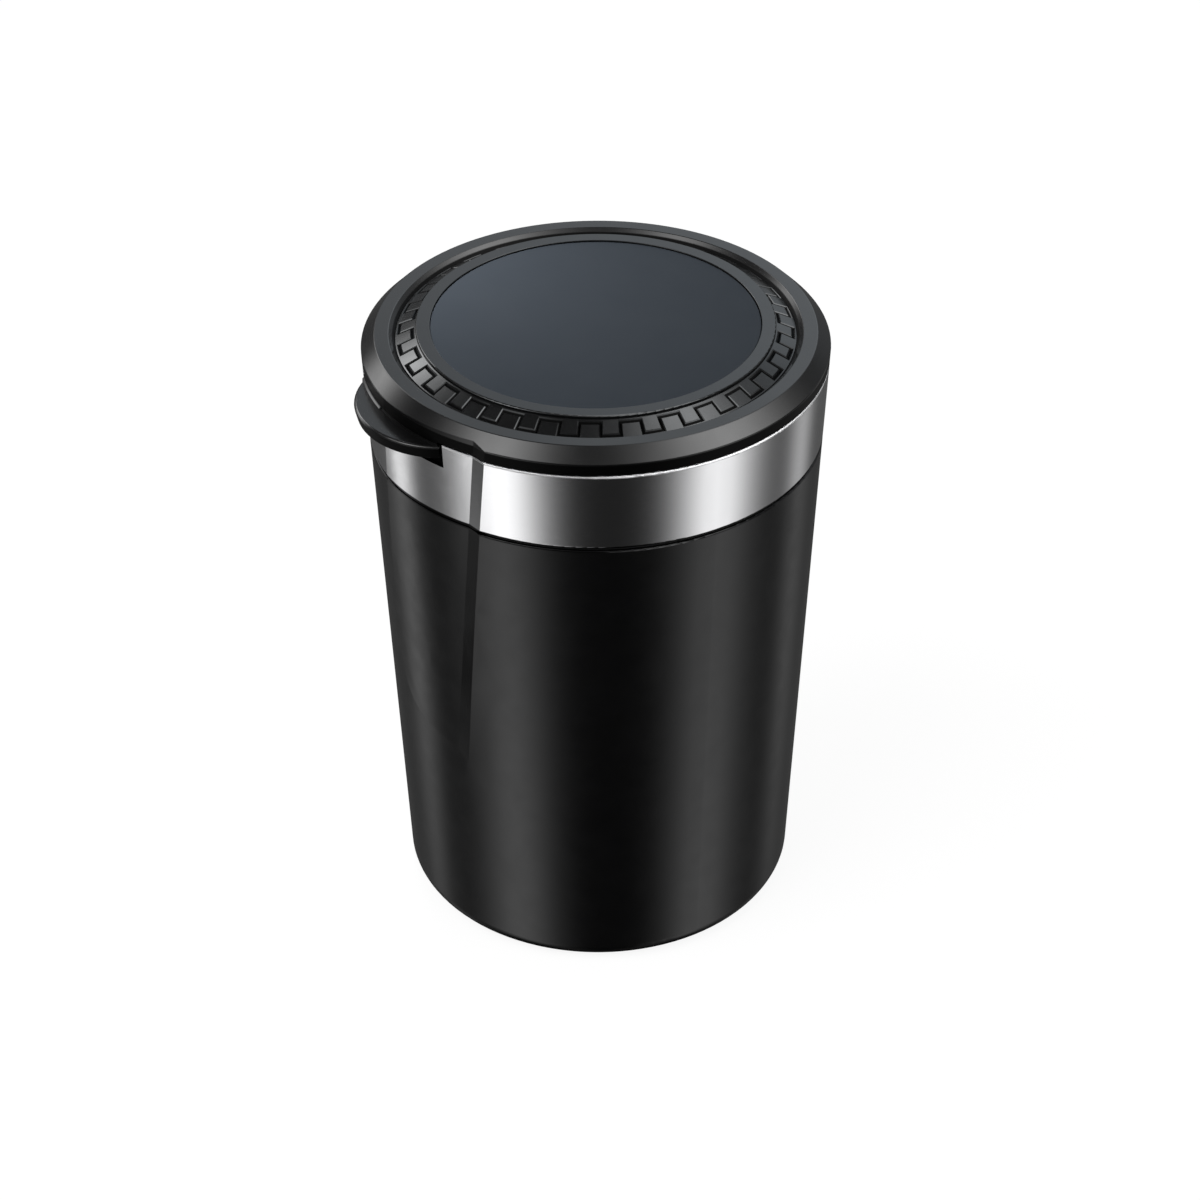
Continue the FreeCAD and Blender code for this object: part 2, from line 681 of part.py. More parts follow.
def meander_edges(side, lift):
    """Edges of the square-wave line on the slope: its middle (side 0) or a side of the cutter (1, -1)."""
    count = int(value("dim.meander_count"))
    pitch = 360 / count
    share = pitch * value("dim.meander_share")
    start = value("dim.meander_start")
    fall = value("dim.ring_rise / dim.slope_width")
    foot = value(f"{SEAT_TOP} + dim.ring_edge + {RING_RADIUS} * dim.ring_rise / dim.slope_width") + lift
    shift = side * value("dim.groove_width / 2 * (1 + dim.groove_reach / dim.groove_depth)")
    outer = value(f"{RING_RADIUS} - dim.meander_inset") + shift
    inner = value(f"{PLATEAU_OUTER} + dim.meander_inset") + shift
    turn = math.degrees(shift / ((outer + inner) / 2 - shift))

    def along(radius, begin, end):
        points = [polar(radius, angle, foot - fall * radius) for angle in (begin, (begin + end) / 2, end)]
        return arc_edge(*points)

    def across(angle, begin, end):
        return line_edge(polar(begin, angle, foot - fall * begin), polar(end, angle, foot - fall * end))

    edges = []
    for index in range(count):
        first = start + index * pitch - turn
        second = start + index * pitch + share + turn
        third = start + (index + 1) * pitch - turn
        edges.append(along(outer, first, second))
        edges.append(across(second, outer, inner))
        edges.append(along(inner, second, third))
        edges.append(across(third, inner, outer))
    return edges


def meander_cutter():
    """V-shaped cutter that follows the meander line round the slope."""
    bottom = meander_edges(0, -value("dim.groove_depth"))
    left = meander_edges(1, value("dim.groove_reach"))
    right = meander_edges(-1, value("dim.groove_reach"))
    faces = []
    for low, first, second in zip(bottom, left, right):
        faces.append(Part.makeRuledSurface(low, first))
        faces.append(Part.makeRuledSurface(low, second))
        faces.append(Part.makeRuledSurface(first, second))
    shell = Part.makeShell(faces)
    shell.sewShape()
    cutter = doc.addObject("Part::Feature", "meander_cutter")
    cutter.Shape = Part.makeSolid(shell.Shells[0])
    return cutter


def make_decor_ring():
    slope_bottom = f"({SEAT_TOP} + dim.ring_edge)"
    slope_top = f"({slope_bottom} + dim.ring_rise)"
    plateau_corners = [(PLATEAU_OUTER, PLATEAU_TOP), (PLATEAU_INNER, PLATEAU_TOP)]
    blank = turned(
        "ring_blank",
        [
            (ZERO, SEAT_TOP),
            (RING_RADIUS, SEAT_TOP),
            (RING_RADIUS, slope_bottom),
            (PLATEAU_OUTER, slope_top),
            plateau_corners[0],
            plateau_corners[1],
            (PLATEAU_INNER, DISC_SEAT),
            (ZERO, DISC_SEAT),
        ],
    )
    round_rings(blank, "dim.plateau_fillet", plateau_corners[:1])
    round_rings(blank, "dim.disc_fillet", plateau_corners[1:])
    node("decor_ring", cut("decor_ring", blank, [meander_cutter()]))


def make_lid_disc():
    radius = f"{PLATEAU_INNER} - dim.disc_gap"
    top = f"({DISC_SEAT} + dim.disc_thickness)"
    disc = turned("lid_disc", [(ZERO, DISC_SEAT), (radius, DISC_SEAT), (radius, top), (ZERO, top)])
    round_rings(disc, "dim.disc_fillet", [(radius, top)])
    node("lid_disc", disc)


def make_gasket():
    inner = f"{THROAT_RADIUS} + dim.gasket_inset"
    bottom = f"({COLLAR_TOP} + dim.gasket_gap)"
    corners = [(inner, bottom), (GASKET_OUTER, bottom), (GASKET_OUTER, SEAT_BOTTOM), (inner, SEAT_BOTTOM)]
    node("lid_gasket", turned("lid_gasket", corners))


DOOR_HOLE = "(dim.cell_radius + dim.door_margin)"
LUG_RADIUS = f"({DOOR_HOLE} + dim.lug_reach)"
CELL_Y = f"({COVER_RADIUS} - dim.cover_wall - {LUG_RADIUS} - dim.cell_margin)"
CELL_FRONT = f"({CELL_Y} - dim.cell_radius)"
LAMP_Y = f"({CELL_FRONT} - dim.contact_reach - dim.board_width / 2)"
BOARD_BOTTOM = f"({COVER_INSIDE} + dim.lens_flange_height + dim.lamp_height)"
BOARD_TOP = f"({BOARD_BOTTOM} + dim.board_thickness)"
CELL_BOTTOM = COVER_INSIDE
CELL_TOP = f"({CELL_BOTTOM} + dim.cell_thickness)"


def make_cover():
    """Dished cover under the lid, with screw bosses, board posts, lamp window and battery hatch."""
    edge = (COVER_RADIUS, COVER_BOTTOM)
    inner = f"{COVER_RADIUS} - dim.cover_wall"
    dish = turned(
        "cover_dish",
        [
            (ZERO, COVER_BOTTOM),
            edge,
            (COVER_RADIUS, SEAT_BOTTOM),
            (inner, SEAT_BOTTOM),
            (inner, COVER_INSIDE),
            (ZERO, COVER_INSIDE),
        ],
    )
    round_rings(dish, "dim.cover_fillet", [edge])
    reach = f"{SEAT_BOTTOM} - {COVER_BOTTOM}"
    boss_height = f"{SEAT_BOTTOM} - {COVER_INSIDE}"
    blanks = on_screw_circle("boss_blank", "dim.boss_radius", boss_height, COVER_INSIDE)
    boss_limit = cylinder("boss_limit", f"{COVER_RADIUS} - dim.cover_wall / 2", RIM_TOP)
    bosses = common("cover_bosses", fuse("boss_blanks", blanks), boss_limit)
    post_height = f"{BOARD_BOTTOM} - {COVER_INSIDE}"
    posts = [
        cylinder(side + "_post", "dim.post_radius", post_height, x=place, y=LAMP_Y, z=COVER_INSIDE)
        for side, place in (("right", "dim.post_spacing / 2"), ("left", "-dim.post_spacing / 2"))
    ]
    holes = on_screw_circle("cover_hole", "dim.screw_radius + dim.screw_gap", reach, COVER_BOTTOM)
    sink_radius = "dim.screw_head + dim.screw_gap"
    sinks = on_screw_circle("cover_sink", sink_radius, "dim.screw_head_height", COVER_BOTTOM)
    window = cylinder("lamp_window", "dim.lens_radius + dim.lens_gap", reach, y=LAMP_Y, z=COVER_BOTTOM)
    hatch = cylinder("battery_hatch", DOOR_HOLE, reach, y=CELL_Y, z=COVER_BOTTOM)
    solid = fuse("cover_blank", [dish, bosses] + posts)
    node("lid_inner_cover", cut("lid_inner_cover", solid, holes + sinks + [window, hatch]))


def make_screws():
    shank = f"{SEAT_BOTTOM} + dim.screw_bite - {COVER_BOTTOM}"
    heads = on_screw_circle("screw_head", "dim.screw_head", "dim.screw_head_height", COVER_BOTTOM)
    shanks = on_screw_circle("screw_shank", "dim.screw_radius", shank, COVER_BOTTOM)
    screws = [fuse(f"screw{index}", list(pair)) for index, pair in enumerate(zip(heads, shanks))]
    node("cover_screws", group("cover_screws", screws))


def make_lamp():
    lens = fuse(
        "light_lens",
        [
            cylinder("lens_face", "dim.lens_radius", "dim.cover_floor", y=LAMP_Y, z=COVER_BOTTOM),
            cylinder(
                "lens_rim",
                "dim.lens_radius + dim.lens_flange",
                "dim.lens_flange_height",
                y=LAMP_Y,
                z=COVER_INSIDE,
            ),
        ],
    )
    node("light_lens", lens)
    board_size = ("dim.board_length", "dim.board_width", "dim.board_thickness")
    board_corner = ("-dim.board_length / 2", f"{LAMP_Y} - dim.board_width / 2", BOARD_BOTTOM)
    node("lamp_board", box("lamp_board", board_size, board_corner))
    lamp_size = ("dim.lamp_length", "dim.lamp_width", "dim.lamp_height")
    lamp_bottom = f"{BOARD_BOTTOM} - dim.lamp_height"
    lamp_corner = ("-dim.lamp_length / 2", f"{LAMP_Y} - dim.lamp_width / 2", lamp_bottom)
    node("lamp_chip", box("lamp_chip", lamp_size, lamp_corner))
    switch = cross_cylinder(
        "tilt_switch",
        "dim.switch_radius",
        "(dim.switch_length / 2)",
        f"{LAMP_Y} - dim.board_width / 2 + dim.switch_radius",
        f"{BOARD_TOP} + dim.switch_radius",
    )
    bind(switch, x="dim.switch_offset - dim.switch_length / 2")
    node("tilt_switch", switch)


def make_battery():
    cell = turned(
        "coin_cell",
        [
            (ZERO, CELL_BOTTOM),
            ("dim.cell_radius", CELL_BOTTOM),
            ("dim.cell_radius", f"{CELL_TOP} - dim.cell_step"),
            ("dim.cell_radius - dim.cell_rim", f"{CELL_TOP} - dim.cell_step"),
            ("dim.cell_radius - dim.cell_rim", CELL_TOP),
            (ZERO, CELL_TOP),
        ],
    )
    node("coin_cell", bind(cell, y=CELL_Y))

    door_radius = f"({DOOR_HOLE} - dim.door_gap)"
    face = cylinder("door_face", door_radius, "dim.cover_floor", y=CELL_Y, z=COVER_BOTTOM)
    lug_limit = cylinder("lug_limit", LUG_RADIUS, "dim.lug_height", y=CELL_Y, z=COVER_INSIDE)
    lug_bar = box(
        "lug_bar",
        (f"2 * {LUG_RADIUS}", "dim.lug_width", "dim.lug_height"),
        (f"-{LUG_RADIUS}", f"{CELL_Y} - dim.lug_width / 2", COVER_INSIDE),
    )
    lug_pair = common("lug_pair", lug_bar, lug_limit)
    room_radius = "dim.cell_radius + dim.door_gap"
    cell_room = cylinder("cell_room", room_radius, RIM_TOP, y=CELL_Y, z=COVER_INSIDE)
    slot = box(
        "door_slot",
        (f"{door_radius}", "dim.door_slot_width", "dim.door_slot_depth"),
        (f"-{door_radius} / 2", f"{CELL_Y} - dim.door_slot_width / 2", COVER_BOTTOM),
    )
    node("battery_door", cut("battery_door", fuse("door_blank", [face, lug_pair]), [cell_room, slot]))

    board_back = f"({LAMP_Y} + dim.board_width / 2)"
    foot = f"({board_back} - dim.contact_width)"
    left = "(-dim.contact_spread - dim.contact_width / 2)"
    top_strip = fuse(
        "top_contact",
        [
            box(
                "top_contact_foot",
                ("dim.contact_width", f"{CELL_FRONT} - {foot}", "dim.contact_sheet"),
                (left, foot, BOARD_TOP),
            ),
            box(
                "top_contact_riser",
                ("dim.contact_width", "dim.contact_sheet", f"{CELL_TOP} + dim.contact_sheet - {BOARD_TOP}"),
                (left, f"{CELL_FRONT} - dim.contact_sheet", BOARD_TOP),
            ),
            box(
                "top_contact_arm",
                ("dim.contact_width", "dim.cell_radius", "dim.contact_sheet"),
                (left, f"{CELL_FRONT} - dim.contact_sheet", CELL_TOP),
            ),
        ],
    )
    middle = "(-dim.contact_width / 2)"
    side_strip = fuse(
        "side_contact",
        [
            box(
                "side_contact_foot",
                ("dim.contact_width", f"{CELL_FRONT} - {foot}", "dim.contact_sheet"),
                (middle, foot, BOARD_TOP),
            ),
            box(
                "side_contact_drop",
                ("dim.contact_width", "dim.contact_sheet", f"{BOARD_TOP} - {COVER_INSIDE} - dim.lug_height"),
                (middle, f"{CELL_FRONT} - dim.contact_sheet", f"{COVER_INSIDE} + dim.lug_height"),
            ),
        ],
    )
    node("battery_contacts", group("battery_contacts", [top_strip, side_strip]))


def check_document():
    """Stop if any object failed or any sub-part is empty or not valid."""
    doc.recompute()
    failed = [item.Name for item in doc.Objects if {"Invalid", "Error"} & set(item.State)]
    if failed:
        raise RuntimeError(f"failed objects: {failed}")
    for name, item in nodes.items():
        if item.Shape.isNull() or not item.Shape.isValid() or not item.Shape.Solids:
            raise RuntimeError(f"{name} has no valid solid")


def write_parts():
    os.makedirs("parts", exist_ok=True)
    for name, item in nodes.items():
        item.Shape.exportStep(f"parts/{name}.step")


make_cup()
make_liner()
make_collar()
make_snuffer_plate()
make_band()
make_hinge_pin()
make_lid_frame()
make_decor_ring()
make_lid_disc()
make_gasket()
make_cover()
make_screws()
make_lamp()
make_battery()
check_document()
write_parts()
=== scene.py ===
import json
import math

import bpy
from mathutils import Matrix, Vector

# Looks of the car ashtray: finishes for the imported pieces, a studio and the camera.
# Metres, +Z up. The thumb tab points to -Y; angles about Z run from -Y towards +X.

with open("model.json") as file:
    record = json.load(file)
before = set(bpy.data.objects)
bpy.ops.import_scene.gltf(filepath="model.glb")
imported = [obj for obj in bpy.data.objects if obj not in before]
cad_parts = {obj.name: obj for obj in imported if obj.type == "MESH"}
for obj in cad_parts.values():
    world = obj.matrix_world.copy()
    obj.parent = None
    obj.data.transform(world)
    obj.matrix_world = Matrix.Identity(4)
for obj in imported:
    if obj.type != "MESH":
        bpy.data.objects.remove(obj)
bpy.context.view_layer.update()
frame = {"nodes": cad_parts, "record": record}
NODES = frame["nodes"]
MM = 0.001

# Camera, fitted to the outline in the photograph
CAMERA_ANGLE = 60.0
CAMERA_ELEVATION = 35.154
CAMERA_DISTANCE = 0.56044
CAMERA_ROLL = -0.3515
CAMERA_TARGET = Vector((0, 0, 0.055))
CAMERA_SENSOR = 36.0
CAMERA_LENS = 95.01
CAMERA_SHIFT = (0.00212, -0.00325)
CAMERA_CLIP = 0.01


def direction(angle, elevation=0.0):
    """Unit vector at an angle from -Y towards +X, and an elevation."""
    turn = math.radians(angle)
    rise = math.radians(elevation)
    flat = math.cos(rise)
    return Vector((flat * math.sin(turn), -flat * math.cos(turn), math.sin(rise)))


class NodeTree:
    """Small helpers for a node tree."""

    def __init__(self, tree):
        self.tree = tree

    def add(self, kind, **settings):
        """New node with some of its settings."""
        node = self.tree.nodes.new(kind)
        for key, setting in settings.items():
            setattr(node, key, setting)
        return node

    def feed(self, target, source):
        """Link a socket to another one, or set it to a plain value."""
        if isinstance(source, bpy.types.NodeSocket):
            self.tree.links.new(source, target)
        else:
            target.default_value = source

    def math(self, operation, *operands):
        """Result of one operation on numbers or sockets."""
        node = self.add("ShaderNodeMath", operation=operation)
        for socket, operand in zip(node.inputs, operands):
            self.feed(socket, operand)
        return node.outputs[0]

    def blend(self, factor, first, second):
        """Mix of two numbers or sockets."""
        node = self.add("ShaderNodeMix", data_type="FLOAT")
        for name, source in (("Factor", factor), ("A", first), ("B", second)):
            self.feed(node.inputs[name], source)
        return node.outputs["Result"]

    def remap(self, source, start, end, low, high, smooth=False):
        """Take a source from the range start to end to the range low to high."""
        kind = "SMOOTHSTEP" if smooth else "LINEAR"
        node = self.add("ShaderNodeMapRange", interpolation_type=kind)
        self.feed(node.inputs["Value"], source)
        for name, number in (("From Min", start), ("From Max", end), ("To Min", low), ("To Max", high)):
            node.inputs[name].default_value = number
        return node.outputs["Result"]

    def sum_shaders(self, first, second, output):
        """Add two shaders and lead them to a new output node."""
        total = self.add("ShaderNodeAddShader")
        self.feed(total.inputs[0], first.outputs[0])
        self.feed(total.inputs[1], second.outputs[0])
        self.feed(self.add(output).inputs["Surface"], total.outputs[0])


# Materials

LID_COLOR = (0.006, 0.006, 0.0062)
LID_GLOSS = (0.17, 0.22)
RING_TINT = (0.95, 0.98, 1.0)
# Painted shade: zones painted as a metal whose base colour is this dark, so that they hardly reflect
SHADE_BLACK = (0.006, 0.006, 0.006)
SHADE_ROUGHNESS = 0.5
# Heights of the tab's edge and the skirt, which bound the shade painted on the lid's side
TAB_EDGE = 104.62 * MM
SKIRT_FOOT = 105.28 * MM
SKIRT_TOP = 107.6 * MM
# Trough between rim and ring, on the lid's side, where shade is painted
TROUGH_RADIUS = 35.5 * MM
TROUGH_FOOT = 108.0 * MM
TROUGH_TOP = 109.42 * MM
# Cone of the meander ring's slope, and how far below it the painted shade starts
PLATEAU_RADIUS = 30.098 * MM
SLOPE_RADIUS = 33.498 * MM
SLOPE_FOOT = 109.05 * MM
SLOPE_FALL = 1.5 / 3.4
SHADE_DEPTH = 0.15 * MM
SHADE_SOFT = 0.03 * MM
# Cup: satin black, with shade painted on its lip at the band's foot
CUP_COLOR = (0.005, 0.005, 0.0052)
CUP_GLOSS = (0.2, 0.26)
CUP_SPECULAR = 0.42
CUP_LIP = 90.6 * MM
# Chrome band: heights where the shade painted on its foot ends and its satin top edge starts, and the
# grain's stretch
CHROME_COLOR = (0.75, 0.75, 0.76)
CHROME_GLOSS = (0.12, 0.18)
BAND_FOOT = 91.7 * MM
BAND_CREST = 105.12 * MM
SATIN_ROUGHNESS = 0.5
DRAWN_DOWN = (1, 1, 14)
# Ramp of the slanting step: angle of its crest at the ground, turn of the crest for each metre of height,
# angle that it spans, and the height where it fades out
RAMP_CREST = math.radians(15.45)
RAMP_LEAN = math.radians(165)
RAMP_SPAN = math.radians(3.9)
RAMP_SOFT = math.radians(0.15)
RAMP_FOOT = 56 * MM
RAMP_FADE = 6 * MM
# How far the painted shade on the cup's lip and ramp and on the band's ramp goes towards black
CUP_SHADE = 0.7
BAND_RAMP_SHADE = 0.4
# Part of a noise texture's range that is used
NOISE_RANGE = (0.3, 0.7)
# Size and depth of the grain, and size of the uneven patches of gloss
PLASTIC_GRAIN = (0.15 * MM, 0.002 * MM)
TEXTURED_GRAIN = (0.15 * MM, 0.01 * MM)
METAL_GRAIN = (0.4 * MM, 0.0004 * MM)
PLASTIC_PATCH = 4 * MM
METAL_PATCH = 1.5 * MM
EVEN = (1, 1, 1)
# Sockets of a Mix node that is set to colour
MIX_COLOR_A = 6
MIX_COLOR_B = 7
MIX_COLOR_RESULT = 2


def middle(pair):
    return sum(pair) / 2


def lighter(color, share):
    return tuple(min(1.0, share * part) for part in color)


class Finish(NodeTree):
    """A node-based material with one Principled shader."""

    def __init__(self, name, color, roughness, metallic=0.0, specular=0.5):
        self.material = bpy.data.materials.new(name)
        self.material.use_nodes = True
        super().__init__(self.material.node_tree)
        self.inputs = self.tree.nodes["Principled BSDF"].inputs
        self.inputs["Base Color"].default_value = (*color, 1.0)
        self.inputs["Roughness"].default_value = roughness
        self.inputs["Metallic"].default_value = metallic
        self.inputs["Specular IOR Level"].default_value = specular
        self.coordinates = self.add("ShaderNodeTexCoord").outputs["Object"]

    def stretched(self, scale):
        """Object coordinates with a scale of their own on each axis."""
        mapping = self.add("ShaderNodeMapping")
        mapping.inputs["Scale"].default_value = scale
        self.feed(mapping.inputs["Vector"], self.coordinates)
        return mapping.outputs["Vector"]

    def place(self):
        """Object coordinates as three sockets."""
        parts = self.add("ShaderNodeSeparateXYZ")
        self.feed(parts.inputs["Vector"], self.coordinates)
        return parts.outputs

    def height(self):
        """Height above the ground, in metres."""
        return self.place()["Z"]

    def radius(self):
        """Distance from the upright axis, in metres."""
        length = self.add("ShaderNodeVectorMath", operation="LENGTH")
        self.feed(length.inputs[0], self.stretched((1, 1, 0)))
        return length.outputs["Value"]

    def noise(self, size, stretch=EVEN, detail=3.0):
        """Noise whose grains are about the given size in metres."""
        texture = self.add("ShaderNodeTexNoise")
        texture.inputs["Scale"].default_value = 1.0 / size
        texture.inputs["Detail"].default_value = detail
        self.feed(texture.inputs["Vector"], self.stretched(stretch))
        return texture.outputs["Fac"]

    def uneven(self, size, gloss, stretch=EVEN):
        """Roughness that wanders between the two values of a gloss, in patches of the given size."""
        return self.remap(self.noise(size, stretch), *NOISE_RANGE, *gloss)

    def step(self, source, edge, low, high, soft=0.1 * MM):
        """Short smooth step from low to high where the source passes an edge; either may be a socket."""
        share = self.remap(source, edge - soft, edge + soft, 0.0, 1.0, smooth=True)
        return self.blend(share, low, high)

    def ramp(self):
        """Mask of the slanting step's ramp, which fades out down the cup; shade is painted through it."""
        x, y, height = self.place()
        turn = self.math("ARCTAN2", x, self.math("MULTIPLY", y, -1.0))
        crest = self.math("MULTIPLY_ADD", height, RAMP_LEAN, RAMP_CREST)
        behind = self.math("SUBTRACT", crest, turn)
        rising = self.step(behind, 0.0, 0.0, 1.0, RAMP_SOFT)
        across = self.step(behind, RAMP_SPAN, rising, 0.0, RAMP_SOFT)
        return self.step(height, RAMP_FOOT, 0.0, across, RAMP_FADE)

    def paint_shade_color(self, mask, color):
        """Painted shade: black base colour where the mask is 1, and elsewhere the given one."""
        tint = self.add("ShaderNodeMix", data_type="RGBA")
        tint.inputs[MIX_COLOR_A].default_value = (*color, 1.0)
        tint.inputs[MIX_COLOR_B].default_value = (*SHADE_BLACK, 1.0)
        self.feed(tint.inputs["Factor"], mask)
        self.feed(self.inputs["Base Color"], tint.outputs[MIX_COLOR_RESULT])

    def paint_shade(self, mask, color, gloss):
        """Painted shade: where the mask is 1 a dead black, and elsewhere the given colour and gloss."""
        self.paint_shade_color(mask, color)
        rough = self.blend(mask, self.uneven(PLASTIC_PATCH, gloss), SHADE_ROUGHNESS)
        self.feed(self.inputs["Roughness"], rough)
        self.feed(self.inputs["Metallic"], mask)
        return self

    def vary_roughness(self, size, gloss, stretch=EVEN):
        self.feed(self.inputs["Roughness"], self.uneven(size, gloss, stretch))
        return self

    def vary_color(self, size, first, second):
        """Colour that wanders between two in patches of the given size."""
        ramp = self.add("ShaderNodeValToRGB")
        for element, place, color in zip(ramp.color_ramp.elements, NOISE_RANGE, (first, second)):
            element.position = place
            element.color = (*color, 1.0)
        self.feed(ramp.inputs["Fac"], self.noise(size))
        self.feed(self.inputs["Base Color"], ramp.outputs["Color"])
        return self

    def bump(self, size, depth, stretch=EVEN):
        """Fine relief of a given grain size and depth in metres."""
        bump = self.add("ShaderNodeBump")
        bump.inputs["Strength"].default_value = 1.0
        bump.inputs["Distance"].default_value = depth
        self.feed(bump.inputs["Height"], self.noise(size, stretch, detail=2.0))
        self.feed(self.inputs["Normal"], bump.outputs["Normal"])
        return self


def black_plastic(name, color, gloss, grain, specular=0.5):
    """Moulded black plastic with a fine grain and a slightly uneven gloss."""
    finish = Finish(name, color, middle(gloss), specular=specular)
    finish.vary_color(6 * MM, color, lighter(color, 1.25))
    return finish.vary_roughness(PLASTIC_PATCH, gloss).bump(*grain)


def textured_plastic(name, color, gloss):
    """Black plastic with a moulded texture."""
    return black_plastic(name, color, gloss, TEXTURED_GRAIN).material


def cup_plastic():
    """Satin black moulding with painted shade on its lip and on the ramp at the slanting step."""
    finish = black_plastic("cup_black", CUP_COLOR, CUP_GLOSS, PLASTIC_GRAIN, CUP_SPECULAR)
    # Painted shade: the lip fully and the ramp of the step, part way to black
    lip_and_ramp_shade = finish.step(finish.height(), CUP_LIP, finish.ramp(), 1.0)
    finish.feed(finish.inputs["Metallic"], finish.math("MULTIPLY", lip_and_ramp_shade, CUP_SHADE))
    return finish.material


def metal(name, color, gloss, stretch=EVEN):
    """Metal with a drawn or brushed grain along the unstretched axes."""
    finish = Finish(name, color, middle(gloss), metallic=1.0)
    finish.vary_roughness(METAL_PATCH, gloss, stretch)
    return finish.bump(*METAL_GRAIN, stretch).material


def lid_plastic():
    """Satin black moulding with painted shade (dead black) on its upright skirt, on its tab's edge and in
    the trough.
    """
    finish = Finish("lid_black", LID_COLOR, LID_GLOSS[0])
    height = finish.height()
    upper = finish.step(height, SKIRT_FOOT, 0.0, 1.0)
    both = finish.step(height, TAB_EDGE, 1.0, upper)
    outside = finish.step(height, SKIRT_TOP, both, 0.0)
    trough = finish.step(height, TROUGH_TOP, 1.0, 0.0)
    inside = finish.step(height, TROUGH_FOOT, outside, trough)
    # Painted shade: dead black on the skirt under the rim, on the tab's edge and in the trough
    lid_shade = finish.step(finish.radius(), TROUGH_RADIUS, inside, outside)
    return finish.paint_shade(lid_shade, LID_COLOR, LID_GLOSS).bump(*PLASTIC_GRAIN).material


def ring_plastic():
    """Satin black moulding with painted shade (dead black) in the engraved line and in the trough round
    the ring.
    """
    finish = Finish("ring_black", LID_COLOR, LID_GLOSS[0])
    finish.inputs["Specular Tint"].default_value = (*RING_TINT, 1.0)
    radius = finish.math("MAXIMUM", finish.radius(), PLATEAU_RADIUS)
    slope = finish.math("MULTIPLY_ADD", radius, -SLOPE_FALL, SLOPE_FOOT + SLOPE_FALL * SLOPE_RADIUS)
    depth = finish.math("SUBTRACT", slope, finish.height())
    # Painted shade: dead black deeper than this below the slope, in the engraved line and the trough
    groove_shade = finish.step(depth, SHADE_DEPTH, 0.0, 1.0, SHADE_SOFT)
    return finish.paint_shade(groove_shade, LID_COLOR, LID_GLOSS).bump(*PLASTIC_GRAIN).material


def chrome_plate():
    """Bright plating: satin on the rounded top edge, with shade painted on the step's ramp and on the
    foot.
    """
    finish = Finish("band_chrome", CHROME_COLOR, middle(CHROME_GLOSS), metallic=1.0)
    height = finish.height()
    # Painted shade: the foot fully black, the ramp of the step part way to black
    ramp = finish.math("MULTIPLY", finish.ramp(), BAND_RAMP_SHADE)
    finish.paint_shade_color(finish.step(height, BAND_FOOT, 1.0, ramp), CHROME_COLOR)
    polish = finish.uneven(METAL_PATCH, CHROME_GLOSS, DRAWN_DOWN)
    rough = finish.step(height, BAND_CREST, polish, SATIN_ROUGHNESS)
    finish.feed(finish.inputs["Roughness"], rough)
    return finish.bump(*METAL_GRAIN, DRAWN_DOWN).material


def rubber(name, color):
    """Matt rubber with a coarse grain."""
    finish = Finish(name, color, 0.7, specular=0.3)
    finish.vary_color(2 * MM, color, lighter(color, 1.4))
    return finish.vary_roughness(1 * MM, (0.6, 0.8)).bump(0.3 * MM, 0.02 * MM).material


def slate_enamel():
    """Satin slate enamel, almost even, with a weak reflection."""
    finish = Finish("disc_slate", (0.033, 0.039, 0.047), 0.4, specular=0.03)
    finish.vary_color(8 * MM, (0.032, 0.038, 0.046), (0.034, 0.04, 0.048))
    return finish.vary_roughness(5 * MM, (0.36, 0.44)).bump(0.1 * MM, 0.001 * MM).material


def frosted_lens():
    """Frosted white lens that lets a little light in."""
    finish = Finish("lens_frosted", (0.8, 0.82, 0.84), 0.45)
    finish.inputs["Subsurface Weight"].default_value = 0.3
    finish.inputs["Subsurface Radius"].default_value = (1 * MM, 1 * MM, 1 * MM)
    return finish.vary_roughness(1 * MM, (0.4, 0.55)).bump(0.2 * MM, 0.01 * MM).material


def painted(name, color, gloss):
    """Small painted or moulded part with a little unevenness."""
    finish = Finish(name, color, middle(gloss))
    finish.vary_color(1 * MM, color, lighter(color, 1.2))
    return finish.vary_roughness(0.8 * MM, gloss).bump(0.2 * MM, 0.004 * MM).material


# Colour, range of roughness and grain of each material slot
FINISHES = {
    "cup_black": cup_plastic(),
    "pad_rubber": rubber("pad_rubber", (0.03, 0.03, 0.03)),
    "liner_steel": metal("liner_steel", (0.55, 0.55, 0.55), (0.25, 0.4), (1, 1, 12)),
    "collar_black": textured_plastic("collar_black", (0.012, 0.012, 0.012), (0.4, 0.55)),
    "seal_rubber": rubber("seal_rubber", (0.025, 0.025, 0.025)),
    "plate_steel": metal("plate_steel", (0.5, 0.5, 0.5), (0.25, 0.4), (12, 1, 1)),
    "band_chrome": chrome_plate(),
    "pin_steel": metal("pin_steel", (0.5, 0.5, 0.5), (0.25, 0.4), (1, 10, 10)),
    "lid_black": lid_plastic(),
    "ring_black": ring_plastic(),
    "disc_slate": slate_enamel(),
    "cover_black": textured_plastic("cover_black", (0.015, 0.015, 0.015), (0.45, 0.6)),
    "lens_frosted": frosted_lens(),
    "board_green": painted("board_green", (0.03, 0.16, 0.06), (0.3, 0.45)),
    "chip_white": painted("chip_white", (0.85, 0.83, 0.7), (0.35, 0.5)),
    "cell_steel": metal("cell_steel", (0.62, 0.62, 0.6), (0.2, 0.3)),
    "contact_brass": metal("contact_brass", (0.7, 0.55, 0.25), (0.2, 0.35), (10, 1, 10)),
}


def dress_nodes():
    """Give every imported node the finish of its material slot."""
    for part in frame["record"]["subparts"]:
        node = NODES[part["node"]]
        node.data.materials.clear()
        node.data.materials.append(FINISHES[part["material_slot"]])


# Studio: a white floor with a soft shadow, and soft boxes that show in the gloss

